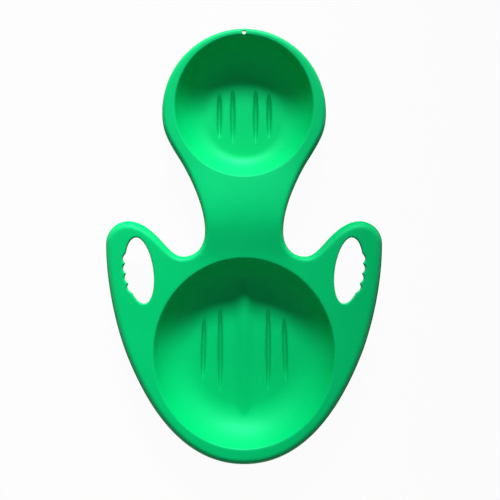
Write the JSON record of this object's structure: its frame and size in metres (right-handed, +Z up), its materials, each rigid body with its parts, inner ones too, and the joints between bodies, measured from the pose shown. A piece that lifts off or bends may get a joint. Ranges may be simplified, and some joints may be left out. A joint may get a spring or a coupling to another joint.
{
  "type": "snow sled",
  "caption": "One-piece moulded snow sled with a round seat dish, a smaller foot dish on an arched neck, wings with scalloped hand holes, and short keels below.",
  "frame": {"origin": "on the ground under the middle of the sled, level with the flat undersides of the keels", "axes": "+Y along the sled towards the nose and foot dish, +X to the rider's right, +Z up"},
  "size_m": [0.477, 0.7496, 0.0678],
  "materials": {
    "shell_plastic": "satin moulded polyethylene, coloured through"
  },
  "bodies": {
    "root": {"sled_shell": "shell_plastic"}
  },
  "joints": []
}
